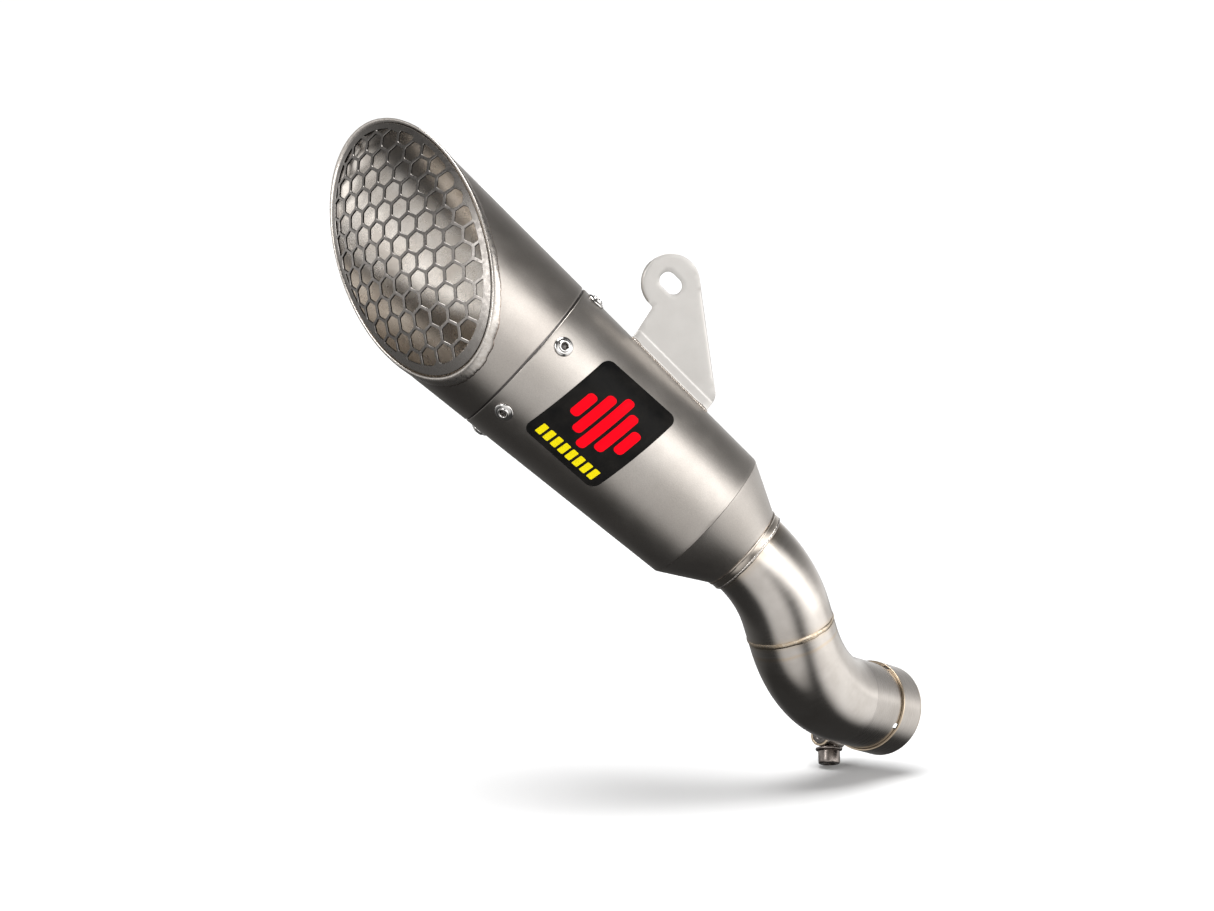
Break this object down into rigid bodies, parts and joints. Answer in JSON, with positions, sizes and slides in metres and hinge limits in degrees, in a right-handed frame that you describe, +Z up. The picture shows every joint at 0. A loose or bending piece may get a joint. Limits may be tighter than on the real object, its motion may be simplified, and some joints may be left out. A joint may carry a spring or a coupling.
{
  "type": "exhaust muffler",
  "caption": "Slip-on motorcycle exhaust muffler: tapered can with slash-cut meshed outlet, riveted cap, S-bent link pipe, slotted socket with bolt clamp, and a slotted hanger bracket.",
  "frame": {"origin": "centre of the inlet socket's mouth, where the header pipe enters", "axes": "+Z up as the muffler is shown; the can's axis lies in a plane parallel to XZ and rises 42 degrees towards -X, its outlet; +Y points away from the badge's side, normal to the hanger bracket's plate"},
  "size_m": [0.3441, 0.1476, 0.384],
  "materials": {
    "titanium_sleeve": "bead-blasted titanium, warm grey, soft satin sheen",
    "titanium_cap": "bead-blasted titanium, satin",
    "titanium_pipe": "brushed round the tube, semi-gloss",
    "dark_mesh": "dark brushed sheet metal",
    "weld_bead": "rippled bright weld",
    "heat_tinted_weld": "straw-tinted weld bead",
    "polished_rivet": "polished steel",
    "dark_steel": "dark plated steel",
    "bolt_steel": "plated steel, semi-gloss",
    "clamp_band": "brushed strip",
    "bracket_titanium": "matte light grey sheet",
    "badge_black": "gloss black label",
    "badge_red": "gloss red print",
    "perforated_steel": "perforated sheet tube",
    "glass_wool": "packed glass fibre"
  },
  "bodies": {
    "root": {"outer_sleeve": "titanium_sleeve", "outlet_cap": "titanium_cap", "mesh_grille": "dark_mesh", "mouth_weld": "weld_bead", "rivet_1": "polished_rivet", "rivet_2": "polished_rivet", "rivet_3": "polished_rivet", "rivet_4": "polished_rivet", "rivet_5": "polished_rivet", "rivet_6": "polished_rivet", "rivet_mandrels": "dark_steel", "inlet_cone": "titanium_sleeve", "cone_collar": "titanium_pipe", "collar_weld": "heat_tinted_weld", "link_pipe_upper": "titanium_pipe", "link_pipe_weld": "heat_tinted_weld", "link_pipe_lower": "titanium_pipe", "inlet_socket": "titanium_pipe", "mounting_bracket": "bracket_titanium", "bracket_weld": "weld_bead", "badge": "badge_black", "badge_marks": "badge_red", "core_tube": "perforated_steel", "packing": "glass_wool", "inlet_plate": "titanium_pipe", "outlet_plate": "titanium_pipe"},
    "clamp": {"clamp_band": "clamp_band", "clamp_plain_barrel": "dark_steel", "clamp_nut_barrel": "dark_steel"},
    "washer": {"clamp_washer": "bolt_steel"},
    "bolt": {"clamp_bolt": "bolt_steel"}
  },
  "joints": [
    {"name": "clamp_turn", "type": "hinge", "parent": "root", "child": "clamp", "pos_m": [0, 0, 0], "axis": [0.6672, 0.6843, -0.2941], "continuous": true},
    {"name": "bolt_back_out", "type": "slide", "parent": "clamp", "child": "washer", "axis": [-0.025, -0.3741, -0.9271], "range_m": [0, 0.0075]},
    {"name": "bolt_turn", "type": "hinge", "parent": "washer", "child": "bolt", "pos_m": [-0.03213, 0.00572, -0.02302], "axis": [-0.025, -0.3741, -0.9271], "range_deg": [0, 2160]}
  ],
  "couplings": [
    {"joint": "bolt_back_out", "follows": "bolt_turn", "m_per_rad": 0.00019894}
  ]
}
